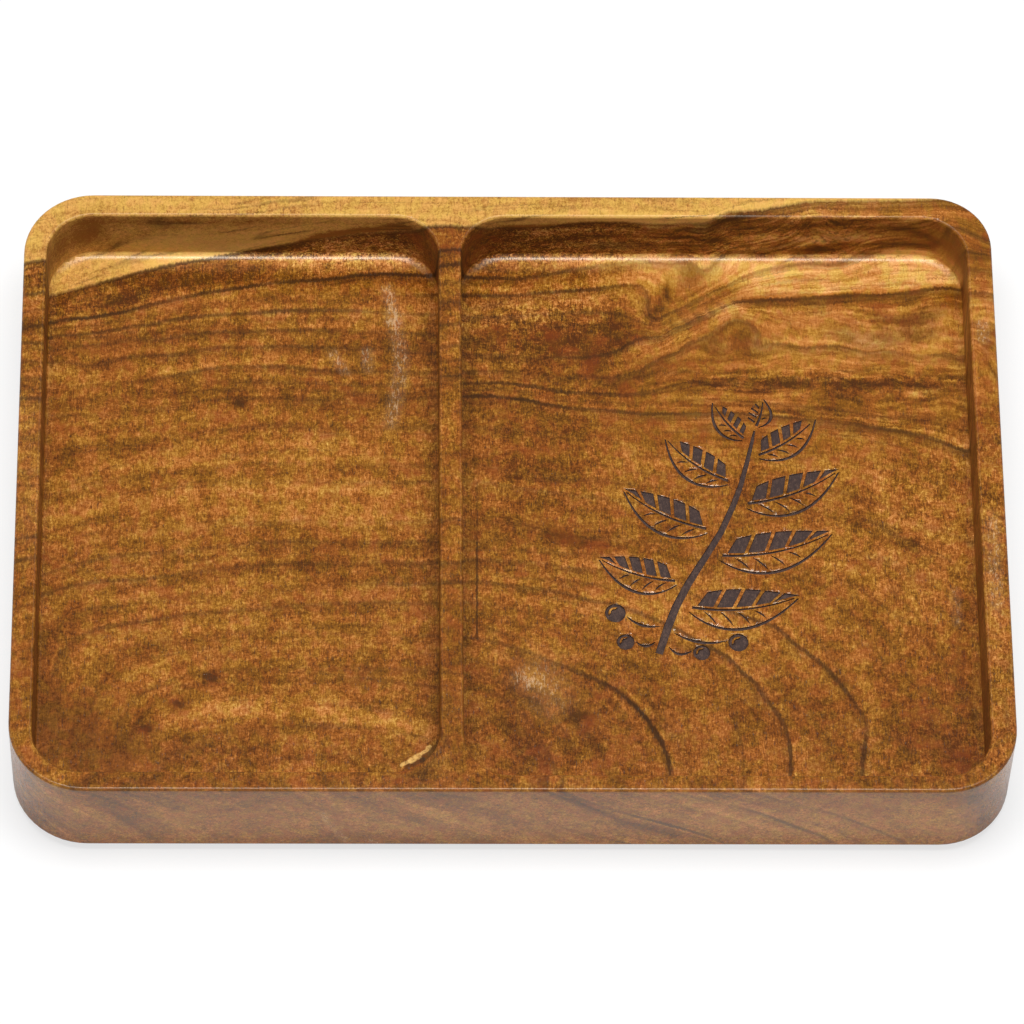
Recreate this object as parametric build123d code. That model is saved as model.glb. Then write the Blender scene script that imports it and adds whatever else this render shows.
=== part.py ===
from build123d import *
import os

os.makedirs("parts", exist_ok=True)

# Valet tray: a slab of hardwood with two milled compartments, which stands on
# four stick-on rubber feet. Millimetres, +Z up. The origin is on the surface
# that the feet stand on, below the middle of the body. -Y is the front.

# Wooden body. The corners are rounded by hand, so each has its own radius.
body_width = 254.0
body_depth = 177.8
body_height = 30.2
front_left_corner_radius = 19.5
front_right_corner_radius = 18.5
back_right_corner_radius = 15.5
back_left_corner_radius = 18.0
rim_edge_radius = 0.8
underside_edge_radius = 2.0

# Walls that are left standing round the compartments
left_wall = 5.9
right_wall = 6.6
back_wall = 6.6
front_wall_of_left_compartment = 5.5
front_wall_of_right_compartment = 4.7
divider_thickness = 5.9

# Compartments, milled from the rim down
left_compartment_width = 102.7
compartment_depth = 18.8
compartment_corner_radius = 12.0

# The floor of a compartment rises a little to its walls
cove_width = 1.8
cove_rise = 0.55
cove_blend_radius = 3.5

# Rubber feet, each on a disc of adhesive
foot_radius = 5.5
foot_tread_radius = 4.9
foot_height = 1.6
foot_edge_chamfer = 0.5
foot_inset = 19.0
adhesive_radius = 5.2
adhesive_thickness = 0.2

# How far a cutter reaches past the face that it enters
cutter_overrun = 5.0

# Heights and sides that follow from the sizes above
underside_height = foot_height + adhesive_thickness
rim_height = underside_height + body_height
floor_height = rim_height - compartment_depth
left_side = -body_width / 2
right_side = body_width / 2
front_side = -body_depth / 2
back_side = body_depth / 2
divider_left = left_side + left_wall + left_compartment_width
divider_right = divider_left + divider_thickness


def rounded_outline(left, right, front, back, radii):
    """A flat face between four sides. The radii go round from the front left corner."""
    corners = [(left, front), (right, front), (right, back), (left, back)]
    outline = make_face(Polyline(*corners, close=True))
    for corner, radius in zip(corners, radii):
        vertex = outline.vertices().sort_by_distance(corner)[0]
        outline = fillet(vertex, radius)
    return outline


def make_blank():
    """The solid slab, with the edges of its rim and underside rounded."""
    outline = rounded_outline(
        left_side, right_side, front_side, back_side,
        (front_left_corner_radius, front_right_corner_radius,
         back_right_corner_radius, back_left_corner_radius))
    blank = extrude(Pos(0, 0, underside_height) * outline, body_height)
    levels = blank.edges().group_by(Axis.Z)
    blank = fillet(levels[-1], rim_edge_radius)
    levels = blank.edges().group_by(Axis.Z)
    return fillet(levels[0], underside_edge_radius)


def make_compartment_cut(left, right, front):
    """The space that the cutter clears: upright walls and a shallow cove all round the floor."""
    outline = rounded_outline(
        left, right, front, back_side - back_wall, (compartment_corner_radius,) * 4)
    cut = extrude(Pos(0, 0, floor_height) * outline, compartment_depth + cutter_overrun)
    floor = cut.faces().sort_by(Axis.Z)[0]
    cut = chamfer(floor.edges(), cove_width, cove_rise, reference=floor)
    floor = cut.faces().sort_by(Axis.Z)[0]
    return fillet(floor.edges(), cove_blend_radius)


def make_body():
    """The milled body, whose compartment rims are eased after the milling."""
    body = make_blank()
    body -= make_compartment_cut(
        left_side + left_wall, divider_left, front_side + front_wall_of_left_compartment)
    body -= make_compartment_cut(
        divider_right, right_side - right_wall, front_side + front_wall_of_right_compartment)
    rim = body.faces().sort_by(Axis.Z)[-1]
    mouths = [edge for wire in rim.inner_wires() for edge in wire.edges()]
    return body.fillet(rim_edge_radius, mouths)


def make_foot():
    """A low bumper that narrows to a flat tread with a bevelled edge."""
    tread_corner = (foot_tread_radius, 0)
    profile = make_face(Polyline(
        (0, 0), tread_corner, (foot_radius, foot_height), (0, foot_height), close=True))
    vertex = profile.vertices().sort_by_distance(tread_corner)[0]
    profile = chamfer(vertex, foot_edge_chamfer)
    return revolve(Plane.XZ * profile, Axis.Z)


def make_adhesive():
    """The thin disc that holds a foot to the underside."""
    disc = Circle(adhesive_radius)
    return extrude(Pos(0, 0, foot_height) * disc, adhesive_thickness)


foot_places = {
    "front_left": (left_side + foot_inset, front_side + foot_inset),
    "front_right": (right_side - foot_inset, front_side + foot_inset),
    "back_left": (left_side + foot_inset, back_side - foot_inset),
    "back_right": (right_side - foot_inset, back_side - foot_inset),
}

nodes = {"tray_body": make_body()}
for place, (x, y) in foot_places.items():
    nodes["foot_" + place] = Pos(x, y, 0) * make_foot()
    nodes["adhesive_disc_" + place] = Pos(x, y, 0) * make_adhesive()

for name, solid in nodes.items():
    solid.label = name
    export_step(solid, "parts/" + name + ".step")
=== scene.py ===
import math
from functools import cached_property

import bmesh
import bpy
import numpy as np
from bpy.props import FloatProperty, FloatVectorProperty, IntProperty, PointerProperty
from mathutils import Matrix, Vector


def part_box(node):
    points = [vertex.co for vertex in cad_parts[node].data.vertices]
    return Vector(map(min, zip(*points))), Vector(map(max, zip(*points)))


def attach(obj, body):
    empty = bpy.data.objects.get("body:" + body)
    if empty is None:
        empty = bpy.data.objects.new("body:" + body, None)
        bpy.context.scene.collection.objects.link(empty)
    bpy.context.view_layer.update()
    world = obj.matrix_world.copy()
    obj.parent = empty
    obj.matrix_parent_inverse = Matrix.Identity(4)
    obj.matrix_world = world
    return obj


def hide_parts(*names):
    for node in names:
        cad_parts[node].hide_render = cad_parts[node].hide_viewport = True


bl_info = {
    "name": "Valet Tray",
    "version": (1, 0, 0),
    "blender": (4, 5, 0),
    "location": "View3D > Sidebar > Valet Tray",
    "description": "Dresses a milled hardwood valet tray in its timber, engraving, feet and stage",
    "category": "Object",
}

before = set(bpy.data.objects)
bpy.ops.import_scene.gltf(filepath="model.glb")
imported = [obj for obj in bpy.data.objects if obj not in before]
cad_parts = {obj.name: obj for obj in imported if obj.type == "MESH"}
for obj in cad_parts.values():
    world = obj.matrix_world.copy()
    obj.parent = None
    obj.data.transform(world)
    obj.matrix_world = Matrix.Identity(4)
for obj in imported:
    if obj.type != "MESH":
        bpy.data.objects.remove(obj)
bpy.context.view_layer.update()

millimetre = 0.001
body_low, body_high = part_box("tray_body")

# Points this near each other are merged, in metres: in new shapes and in the CAD mesh
merge_distance, cad_merge_distance = 1e-7, 1e-6

# The places of the four feet, as their nodes name them
foot_places = ("front_left", "front_right", "back_left", "back_right")

# Heights of the compartments' floors and of the rim, in mm from the standing surface
floor_height = 13.2
rim_height = 32.0

# Places of the front face and of the back wall's inner face, in mm behind the tray's middle
front_side = -88.9
back_wall_face = 82.3

# Middle of the divider and of each compartment, in mm to the right of the tray's middle
divider_middle = -15.5
compartment_middles = (-69.7, 54.0)

# Growth lines on the floors of the compartments. Each has its ring value, its darkness as a share
# of the darkest, and the places that it passes, in mm to the right of and behind the tray's middle.
# Ring values rise from the heart of the tree, off the front edge, to the bark side at the back.
floor_growth_lines = (
    (93, 0.9, ((-127, 66.5), (-120, 68.8), (-108, 73), (-100, 75.5), (-90, 78.5), (-80, 80.5), (-73, 82),
               (-50, 88), (-22, 93))),
    (93, 0.6, ((0, 94.5), (20, 95.5), (35, 96), (46, 91), (54, 88), (60, 96), (75, 100), (110, 102))),
    (79, 1.0, ((-122, 60), (-110, 62), (-100, 64), (-90, 67.5), (-80, 70), (-70, 72), (-60, 73.5),
               (-50, 74.5), (-40, 75.5), (-28, 76.3), (-20, 75.5), (-8, 75.2))),
    (79, 0.7, ((3, 75), (10, 76), (20, 78), (30, 79.5), (40, 80.5), (48, 81.5), (58, 84), (70, 87),
               (90, 89), (115, 90))),
    (74, 0.9, ((-8, 70), (8, 70.5), (20, 71.5), (30, 72.5), (37, 72), (38, 66), (39, 61.5))),
    (74, 0.6, ((41, 61.5), (46, 65), (52, 68.5), (58, 72), (62, 75), (66, 77), (72, 78.5), (88, 79.5),
               (118, 82))),
    (69.5, 0.75, ((-122, 55.5), (-118, 56.5), (-110, 57.5), (-100, 59.5), (-90, 61.5), (-80, 63), (-70, 64),
                  (-60, 64.7), (-50, 64.8))),
    (69.5, 0.5, ((-22, 63.5), (-8, 63), (20, 64.5))),
    (64.5, 0.6, ((-92, 55.5), (-85, 57.5), (-76, 58), (-65, 58.5), (-55, 58.5), (-22, 57.5))),
    (60, 0.6, ((-110, 47), (-85, 51), (-70, 53), (-60, 53.5), (-50, 53))),
    (60, 0.5, ((-22, 51.5), (-8, 50.5), (8, 50), (20, 50.5))),
    (60, 1.0, ((30, 53), (36, 57), (43, 60), (50, 63), (56, 66), (60, 68), (70, 68.5), (80, 69), (90, 70),
               (100, 70.5), (110, 71.5), (118, 72.5))),
    (53, 0.6, ((-80, 46), (-70, 47), (-60, 47.3), (-50, 46))),
    (53, 0.4, ((-22, 45.5), (-8, 45.5), (20, 45))),
    (53, 0.75, ((45, 52), (55, 52.5), (66, 53), (78, 53), (84, 54), (95, 51.5), (110, 51), (120, 50.5))),
    (48, 0.4, ((-60, 42), (-50, 42), (-40, 41.8), (-22, 41.5))),
    (48, 0.8, ((-8, 42.5), (0, 42), (8, 41), (15, 39.5), (22, 38.8), (30, 38.5))),
    (48, 0.5, ((50, 42.5), (60, 43.5), (72, 44), (85, 44.5), (100, 44), (118, 43))),
    (45, 0.5, ((62, 37), (70, 36), (80, 34.8), (90, 33.5), (100, 32))),
    (42, 0.35, ((-118, 32), (-60, 38), (-22, 38))),
    (42, 1.0, ((-8, 38.5), (0, 38), (10, 36), (20, 34.5), (28, 33.8), (40, 33), (50, 32.7), (60, 33.5),
               (70, 32.5), (80, 31), (90, 30), (100, 28.8), (108, 27), (114, 24.5), (119, 22))),
    (31.5, 0.3, ((-60, 29), (-22, 28.5), (-8, 29))),
    (19, 0.25, ((-118, 8), (-22, 17), (-8, 17), (5, 15), (20, 13), (60, 12), (85, 10), (118, -5))),
    (13.5, 0.4, ((-22, 12), (-8, 12), (10, 9), (25, 7))),
    (13.5, 0.2, ((60, 2),)),
    (1, 0.25, ((-60, 0), (-22, 0), (-8, 0), (5, -1), (12, -4), (22, -5), (30, -5), (50, -9), (75, -14),
               (100, -28), (118, -55))),
    (-5, 0.5, ((-120, -16), (-105, -11), (-95, -9.5), (-60, -6), (-22, -5.5))),
    (-11, 0.35, ((-8, -11.5), (10, -12.5), (20, -14), (28, -15), (45, -20))),
    (-11, 0.8, ((60, -28), (68, -31), (73, -36), (78, -40), (83, -46), (87, -52), (89.5, -58), (90.3, -66),
                (89.5, -74), (88.5, -85))),
    (-11, 0.5, ((-120, -22), (-105, -18), (-95, -17.5), (-60, -13), (-22, -12.5))),
    (-18, 0.6, ((-22, -18), (-8, -18), (0, -19), (10, -20), (20, -23), (25, -24), (35, -28))),
    (-18, 0.9, ((45, -33), (52, -38), (58, -43), (63, -48), (66, -53), (69, -58), (70.5, -63), (71.2, -70),
                (71, -78), (70.5, -86))),
    (-24, 0.4, ((-110, -34), (-95, -30), (-85, -28), (-70, -26.5), (-50, -25), (-22, -24))),
    (-32, 0.2, ((-104, -40), (-108, -48), (-111, -60), (-112, -75))),
    (-35, 0.5, ((-8, -35), (0, -37), (8, -40), (14, -42.5))),
    (-35, 1.0, ((25, -49), (30, -53), (34, -58), (37, -63), (39, -68), (40, -74), (40.5, -86))),
    (-46, 0.22, ((-90, -48), (-70, -44), (-45, -43), (-22, -44))),
    (-50, 0.3, ((-22, -49), (-5, -50), (2, -56), (8, -65), (10.5, -72), (11.5, -86))),
    (-64, 0.2, ((-95, -85), (-88, -70), (-70, -62), (-45, -60), (-25, -63), (-12, -75), (-9, -88))),
    (-80, 0.12, ((-70, -85), (-50, -80), (-32, -85))),
)

# The same growth lines where they cross the rims and the divider
rim_growth_lines = (
    (93, 0.8, ((-126, 67.3), (-121, 68.3), (-100, 69.5), (-66, 72), (-50, 75.5), (-22, 78.5), (-12, 78.8),
               (0, 79.8), (10, 79.5), (20, 80.5), (30, 80.5), (38, 79), (45, 75.5), (52, 76), (55, 82.3),
               (65, 84), (75, 86), (90, 87.3), (110, 87.8), (122, 86.5))),
    (79, 0.9, ((-124, 57.5), (-15.5, 72.3))),
    (74, 0.9, ((-15.5, 67), (80, 80), (118, 80))),
    (69.5, 0.4, ((-124, 53), (-15.5, 61.5))),
    (67, 0.8, ((112, 74), (120.5, 71.5), (127, 70.5))),
    (64.5, 0.7, ((-124, 48), (-15.5, 56.5))),
    (60, 0.7, ((-124, 42.5), (-15.5, 48.5))),
    (60, 0.6, ((120.5, 66.5), (127, 66))),
    (53, 0.5, ((-124, 37), (-15.5, 42))),
    (53, 0.9, ((120.5, 59.5), (127, 59))),
    (48, 0.4, ((-124, 31.5), (-15.5, 37.5), (120.5, 49.5), (127, 49))),
    (42, 0.8, ((-124, 26), (-15.5, 33))),
    (42, 0.1, ((123.5, 24),)),
    (19, 0.3, ((-15.5, 9), (-124, 4))),
    (1, 0.6, ((-15.5, -10),)),
    (1, 0.1, ((123.5, -60),)),
    (-5, 0.6, ((-124, -15.5),)),
    (-11, 0.7, ((-124, -22.5), (-15.5, -23.5))),
    (-18, 0.8, ((-15.5, -28.5),)),
    (-24, 0.3, ((-124, -36),)),
    (-11, 0.4, ((57, -86.5),)),
    (-18, 0.4, ((37, -86.5),)),
    (-35, 0.15, ((-15.5, -53),)),
    (-35, 0.6, ((12, -86.5),)),
    (-37.5, 0.6, ((8, -86.5),)),
    (-50, 0.5, ((-15.5, -75), (-24, -86.5))),
    (-64, 0.2, ((-119, -82), (-37, -86.5))),
    (-72, 0.5, ((-107, -86.5),)),
    (-80, 0.2, ((-96, -86.5), (-58, -86.5))),
)

# Bands of rings that differ from their neighbours: the first and last ring value, the first and last
# place across the tray, how far above the floor they fade in mm, and what is added to the brightness,
# the redness and the contrast
ring_bands = (
    (61.5, 73.5, 64, 140, 8, 0.66, -0.15, 0.2),
    (80, 92.5, -106, -62, 100, -0.45, -0.12, 0.2),
    (80, 92.5, -62, -40, 100, -0.12, -0.05, 0.3),
    (80, 92.5, -140, -106, 100, -0.05, -0.2, 0.3),
    (80, 92.5, -45, 0, 100, 0.0, 0.10, 0.3),
    (46.5, 49.5, 46, 130, 12, -0.38, -0.15, 0.7),
    (42.7, 45, 52, 130, 12, -0.22, -0.15, 0.7),
    (36, 60, 46, 130, 100, 0.19, 0.02, 0.1),
    (54, 59, 34, 130, 100, 0.10, 0.06, 0.3),
    (20, 40, 40, 130, 100, 0.04, 0.04, 0.0),
    (93, 140, -140, 140, 100, -0.05, 0.0, 0.4),
)

# Strokes on the floors: where each starts and ends, to the right of and behind the tray's middle, its
# width in mm, how far it covers and whether it is pale. Two are lines that the cutter left, five are a
# chip in the front right corner of the left compartment, three pale strokes of the chip and two dark
# ones of painted shadow beside it, and the others are the hearts of small knots.
strokes = (
    (-8.7, -34.5, -8.5, -6.0, 0.5, 0.8, False),
    (-8.5, -6.0, -8.4, 12.0, 0.5, 0.4, False),
    # Painted shadow beside the chip
    (-26.5, -71.8, -22.8, -70.0, 1.5, 0.7, False),
    (-22.8, -70.0, -19.4, -66.6, 1.5, 0.7, False),
    (-28.0, -71.5, -26.0, -70.4, 0.9, 0.6, True),
    (-25.8, -70.3, -23.6, -68.8, 1.4, 0.7, True),
    (-23.0, -68.3, -20.8, -66.2, 0.9, 0.65, True),
    (-77.9, -45.8, -76.3, -46.4, 2.0, 0.75, False),
    (-85.4, -53.5, -84.2, -54.5, 1.6, 0.60, False),
    (-93.6, -60.8, -92.4, -61.3, 1.7, 0.60, False),
    (-71.0, 36.2, -70.0, 35.8, 1.7, 0.65, False),
)

# Marks on the floors and, below, on the rims: how far each reaches sideways and to the back in mm,
# what it adds to the brightness, the redness, the contrast and the scuffing, and where it passes.
# Amounts of 0 at the end are left out. Most are patches of the wood; the rows that lighten the floor
# along the foot of the back wall are a painted sheen of the lacquer.
floor_marks = (
    (24, 12, -0.16, 0.03, 0.6, ((12, 62),)),
    (12, 5, -0.12, 0.04, ((4, 58), (18, 56))),
    (10, 4, 0.16, ((6, 66), (20, 68))),
    # These three rows are a painted sheen of the lacquer along the foot of the back wall
    (22, 2.8, 0.55, -0.1, -0.1, ((-66, 80.4), (-48, 80.4))),
    (14, 2.0, 0.30, -0.1, ((-40, 81), (-28, 81))),
    (16, 2.4, 0.46, -0.1, -0.1, ((25, 80.6), (62, 80.4))),
    (12, 4.5, 0.52, -0.2, ((46, 76), (60, 77))),
    (9, 3, 0.14, ((2, 52),)),
    (16, 20, -0.24, 0.03, 0.15, ((4, 17),)),
    (24, 20, -0.24, 0.04, ((8, -62),)),
    (14, 14, -0.12, 0.03, ((24, -50),)),
    (5, 6, 0.18, -0.05, ((-4, -64),)),
    (12, 10, -0.08, ((55, -66),)),
    (22, 26, 0.10, 0, 0.2, ((106, 0),)),
    (14, 18, -0.12, 0.04, ((104, -64),)),
    (24, 7, 0.16, ((-70, -56), (-38, -58))),
    (16, 7, 0.08, ((-45, -68), (-32, -68))),
    (24, 6, 0.12, ((-90, -44), (-50, -38))),
    (22, 4, -0.10, ((-88, -66), (-50, -70))),
    (14, 12, -0.20, -0.1, -0.4, ((-113, -60), (-100, -72))),
    (5, 14, -0.14, ((-116, -40), (-116, -70))),
    (2.8, 2.0, -0.45, 0.22, ((-77, -46),)),
    (2.4, 1.6, -0.25, 0.22, ((-85, -43.5),)),
    (2.6, 1.8, -0.40, 0.22, ((-85, -54),)),
    (2.6, 2.0, -0.45, 0.22, ((-93, -61),)),
    (2.4, 1.8, -0.40, 0.22, ((-70.5, 36),)),
    (1.9, 2.6, -0.50, 0.12, ((22, 50), (22.5, 47))),
    (1.6, 1.6, -0.30, ((29.5, 55),)),
    (2.2, 1.8, -0.25, 0.22, ((-2, 59),)),
    (2.0, 2.0, -0.30, 0.18, ((11.7, 56.7),)),
    (2.4, 2.4, -0.24, 0.20, ((29.5, 40.5),)),
    (6.0, 2.2, -0.15, -0.3, 0.2, 0.15, ((-8, 63), (3, 63))),
    (4.0, 1.4, -0.32, 0.30, ((12, -3.5), (14, -4.5))),
    (5.0, 1.4, -0.32, 0.30, ((19, -6), (23, -7.5))),
    (1.6, 1.6, 0.40, -0.1, ((29, 51), (36, 55), (44, 60.5), (52, 64.5), (60, 66.5))),
    (1.6, 1.6, -0.50, -0.1, ((38, 62.5), (39.5, 65), (41.5, 69), (42.5, 71.5))),
    (3.0, 1.8, -0.40, -0.1, ((57, 71.5),)),
    (12, 5.0, 0.08, ((92, 60),)),
    (4.0, 1.7, -0.36, -0.15, ((67, 67.3), (94, 69), (118, 69))),
    (6.0, 2.4, -0.12, -0.1, 0.3, ((60, 43), (118, 42.7))),
    (3.0, 3.0, -0.16, ((0, -42), (0, -60))),
    (7.5, 7.0, 0.18, -0.4, -0.3, 0.45, ((7, -45), (10, -52))),
    (3.0, 2.5, -0.34, 0.04, ((6, -67), (9, -71))),
    (2.2, 1.8, -0.30, 0.18, ((17, -57), (20, -58))),
    (3.0, 9.0, -0.16, 0.04, ((115, -28), (115, -52))),
    (3.0, 5.0, -0.24, 0.12, 0.2, ((103, -58), (104, -63))),
    (6.0, 5.0, -0.26, 0.12, 0.2, ((116, -68),)),
    (5, 5, 0.10, ((-95, 78), (-84, 80))),
    (1.6, 2.0, 0.05, 0, 0, 1.0, ((-31.5, 71), (-30, 62))),
    (2.2, 2.0, 0, 0, 0, 0.7, ((-30, 62), (-28, 50), (-29, 40), (-31, 30))),
    (1.5, 1.5, 0, 0, 0, 0.8, ((-46, 51), (-43, 46))),
    (1.8, 1.8, 0, 0, 0, 0.7, ((-37, 52), (-37, 47))),
    (2.5, 2.0, 0, 0, 0, 0.6, ((3, -46), (6, -47))),
    (1.5, 1.5, 0, 0, 0, 0.5, ((115, -20), (115, -30))),
)
rim_marks = (
    (2.0, 5.0, 0, 0, 0, 0.7, ((123.5, -33), (123.5, -12))),
    (2.0, 2.0, 0.1, 0, 0, 0.7, ((123.5, 45), (123.5, 50))),
    (4.0, 4.0, 0.12, -0.1, ((123.5, 54),)),
    (4.0, 5.0, -0.07, -0.15, ((-124, 62),)),
    (5.0, 18, -0.03, -0.2, 0.0, 0.25, ((-124, -8), (-124, 18))),
    (4.0, 2.5, -0.30, ((123.5, 71),)),
    (4.0, 2.0, -0.20, ((123.5, 60),)),
    (30, 4.0, 0.18, -0.4, 0.3, 0.25, ((85, 85),)),
    (20, 3.0, -0.14, 0, -0.05, ((-100, -86.5), (100, -86.5))),
    (5.0, 20, -0.04, 0.05, -0.10, ((-124, -45), (-124, -75))),
    (5.0, 20, 0.05, 0.03, 0.2, ((123.5, -70), (123.5, 30))),
    (4.0, 25, -0.08, 0, -0.15, ((-15.5, -70), (-15.5, -40))),
    (4.0, 30, -0.08, ((-15.5, -30), (-15.5, 50))),
    (4.0, 8.0, 0.20, -0.1, ((-15.5, -18),)),
    (6.0, 3.0, 0.15, -0.1, ((-115, -86),)),
    (4.0, 3.0, -0.30, 0.05, ((-24, -84),)),
)

# Painted shade halfway up the walls in the compartments' back corners, in mm to the right and to the back
painted_wall_shade = (
    (5.0, 5.0, -0.34, 0.2, ((-120, 70), (-117, 78), (-110, 82))),
    (5.0, 5.0, -0.14, 0.1, ((-22, 80), (-18.4, 72))),
    (5.0, 5.0, -0.14, 0.1, ((-12, 74), (-5, 82))),
    (7.0, 7.0, -0.12, 0.05, -0.85, ((108, 84), (117, 80), (122, 68))),
)

# Marks on the front face and on the back wall of the compartments, in mm to the right and upwards.
# Some are painted light and shade, as said at their rows.
front_marks = (
    # These two rows lighten and flatten the front face: a painted reflection of the white floor
    (30, 20, 0.13, 0.03, -0.15, ((-100, 14), (100, 14))),
    (40, 20, 0.12, ((60, 14), (100, 14))),
    (1.3, 1.1, -0.45, ((12, 31), (18, 24), (27, 16), (42, 8))),
    (3.0, 2.5, -0.20, ((-105, 28), (-97, 15))),
    (4.0, 5.0, -0.12, 0.05, ((-66, 13),)),
    (4.0, 2.0, 0.18, -0.1, ((-28, 26), (-8, 8))),
    (0.9, 0.9, 0.1, 0, 0, 0.9, ((-48, 20), (-46, 13), (-42, 5))),
    (0.9, 0.9, 0.1, 0, 0, 0.9, ((-36, 5), (-33, 2))),
)
back_wall_marks = (
    (1.6, 1.2, -0.6, ((-66, 15), (-57, 17), (-50, 22), (-40, 25), (-30, 26.5), (-22, 28))),
    # This row darkens the left compartment's back wall: painted shade
    (40, 10, -0.10, 0.1, ((-100, 24), (-40, 30))),
    (40, 1.6, -0.15, ((-105, 29), (-50, 29))),
    (30, 10, 0.22, ((80, 20), (105, 20))),
    (60, 20, 0.08, 0, 1.3, ((-60, 22), (60, 22))),
    (12, 6.0, -0.20, 0.05, ((-45, 15), (-28, 18))),
    (16, 10, -0.10, ((5, 20), (40, 16))),
    (2.0, 1.2, -0.6, ((0, 26.3), (18, 28), (31, 28.2), (36, 25.5), (45, 22.5), (54, 21), (63, 18.5))),
    (2.0, 1.2, -0.45, ((8, 19.5), (20, 23), (29, 22), (38, 19.5))),
    (6.0, 3.0, 0.30, 0.05, ((38, 28), (52, 27))),
    (20, 3.0, -0.15, ((0, 15), (50, 15))),
    (1.4, 1.2, -0.6, ((55, 21), (54, 26), (55, 29.5), (62, 30.5))),
    (2.0, 1.4, -0.55, ((64, 26.5), (82, 28.5), (92, 28), (105, 26.5), (114, 22))),
    (2.0, 1.4, -0.60, ((66, 14), (78, 16), (89, 18.5), (105, 19.5), (114, 18))),
    (12, 2.0, 0.25, ((75, 22), (100, 23))),
)


# Materials

class Value:
    """What a node gives out. Values are added, subtracted, multiplied and divided like numbers."""

    def __init__(self, nodes, socket):
        self.nodes, self.socket = nodes, socket

    def __add__(self, other):
        return self.nodes.math("ADD", self, other)

    __radd__ = __add__

    def __sub__(self, other):
        return self.nodes.math("SUBTRACT", self, other)

    def __mul__(self, other):
        return self.nodes.math("MULTIPLY", self, other)

    def __truediv__(self, other):
        return self.nodes.math("DIVIDE", self, other)

    def __abs__(self):
        return self.nodes.math("ABSOLUTE", self)


class Nodes:
    """Adds nodes to a material or a world, so that one line makes a node and joins its inputs."""

    def __init__(self, owner):
        self.owner = owner
        owner.use_nodes = True
        self.tree = owner.node_tree
        self.tree.nodes.clear()

    @cached_property
    def in_mm(self):
        place = self.add("TexCoord", output="Object")
        return self.scaled(place, (1 / millimetre, 1 / millimetre, 1 / millimetre))

    def make(self, kind, inputs=(), **settings):
        made = self.tree.nodes.new("ShaderNode" + kind)
        for key, value in settings.items():
            setattr(made, key, value)
        for key, value in dict(inputs).items():
            self.join(value, made.inputs[key])
        return made

    def add(self, kind, inputs=(), output=0, **settings):
        return Value(self, self.make(kind, inputs, **settings).outputs[output])

    def join(self, value, socket):
        if isinstance(value, Value):
            self.tree.links.new(value.socket, socket)
        elif socket.type == "RGBA":
            socket.default_value = (*value[:3], 1.0)
        else:
            socket.default_value = value

    def math(self, operation, first, second=0.0, clamp=False):
        return self.add("Math", {0: first, 1: second}, operation=operation, use_clamp=clamp)

    def vector(self, operation, first, second):
        return self.add("VectorMath", {0: first, 1: second}, operation=operation)

    def scaled(self, vector, scale):
        return self.add("Mapping", {"Vector": vector, "Scale": scale})

    def noise(self, vector, detail=2.0, roughness=0.5, distortion=0.0):
        return self.add("TexNoise", {"Vector": vector, "Scale": 1.0, "Detail": detail,
                                     "Roughness": roughness, "Distortion": distortion})

    def pattern(self, waves, *shape):
        """A noise with so many waves to the mm to the right, to the back and upwards."""
        return self.noise(self.scaled(self.in_mm, waves), *shape)

    def fit(self, value, low, high, to_low=0.0, to_high=1.0, smooth=True):
        return self.add("MapRange", {"Value": value, "From Min": low, "From Max": high,
                                     "To Min": to_low, "To Max": to_high},
                        interpolation_type="SMOOTHSTEP" if smooth else "LINEAR", clamp=True)

    def mix(self, share, first, second, blend="MIX"):
        # The Mix node's inputs and output for colours are known by number
        return self.add("Mix", {0: share, 6: first, 7: second}, output=2,
                        data_type="RGBA", blend_type=blend, clamp_factor=True)

    def ramp(self, value, stops, interpolation="LINEAR"):
        made = self.make("ValToRGB", {"Fac": value})
        made.color_ramp.interpolation = interpolation
        elements = made.color_ramp.elements
        while len(elements) > 1:
            elements.remove(elements[-1])
        for number, (place, colour) in enumerate(stops):
            element = elements[0] if number == 0 else elements.new(place)
            element.position = place
            element.color = (*colour[:3], 1.0)
        return Value(self, made.outputs[0])

    def attribute(self, name):
        return self.add("Attribute", output="Fac", attribute_name=name)

    def finish(self, shader, output="OutputMaterial"):
        self.make(output, {"Surface": shader})
        return self.owner

    def finish_surface(self, colour, roughness, height, bump_depth, bump_strength, others=()):
        """The material with an ordinary surface, whose bumps are so many mm deep."""
        bump = self.add("Bump", {"Height": height, "Strength": bump_strength,
                                 "Distance": bump_depth * millimetre})
        return self.finish(self.add("BsdfPrincipled", {
            "Base Color": colour, "Roughness": roughness, "IOR": 1.5, "Normal": bump, **dict(others)}))


def weighted(*pairs, start=0.0):
    """The start, plus each pattern's difference from its middle times its weight."""
    return sum(((value - 0.5) * weight for value, weight in pairs), start)


def linear(red, green, blue):
    """A colour as Blender wants it, from its 0 to 255 values on a screen."""
    parts = [part / 255 for part in (red, green, blue)]
    return tuple(part / 12.92 if part <= 0.04045 else ((part + 0.055) / 1.055) ** 2.4 for part in parts)


def colour_property(name, description, screen_colour):
    return FloatVectorProperty(name=name, description=description, subtype="COLOR", size=3,
                               min=0.0, max=1.0, default=linear(*screen_colour))


def length_property(name, description, millimetres, lowest=0.0):
    return FloatProperty(name=name, description=description, unit="LENGTH", min=lowest,
                         default=millimetres * millimetre, precision=5)


def angle_property(name, description, degrees):
    return FloatProperty(name=name, description=description, subtype="ANGLE", default=math.radians(degrees))


def share_property(name, description, default):
    return FloatProperty(name=name, description=description, subtype="FACTOR", min=0.0, max=1.0,
                         default=default)


# Growth-ring field

def ring_values():
    """The ring values of all the growth lines, from the heart outwards."""
    return sorted({ring for ring, _, _ in (*floor_growth_lines, *rim_growth_lines)})


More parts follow.
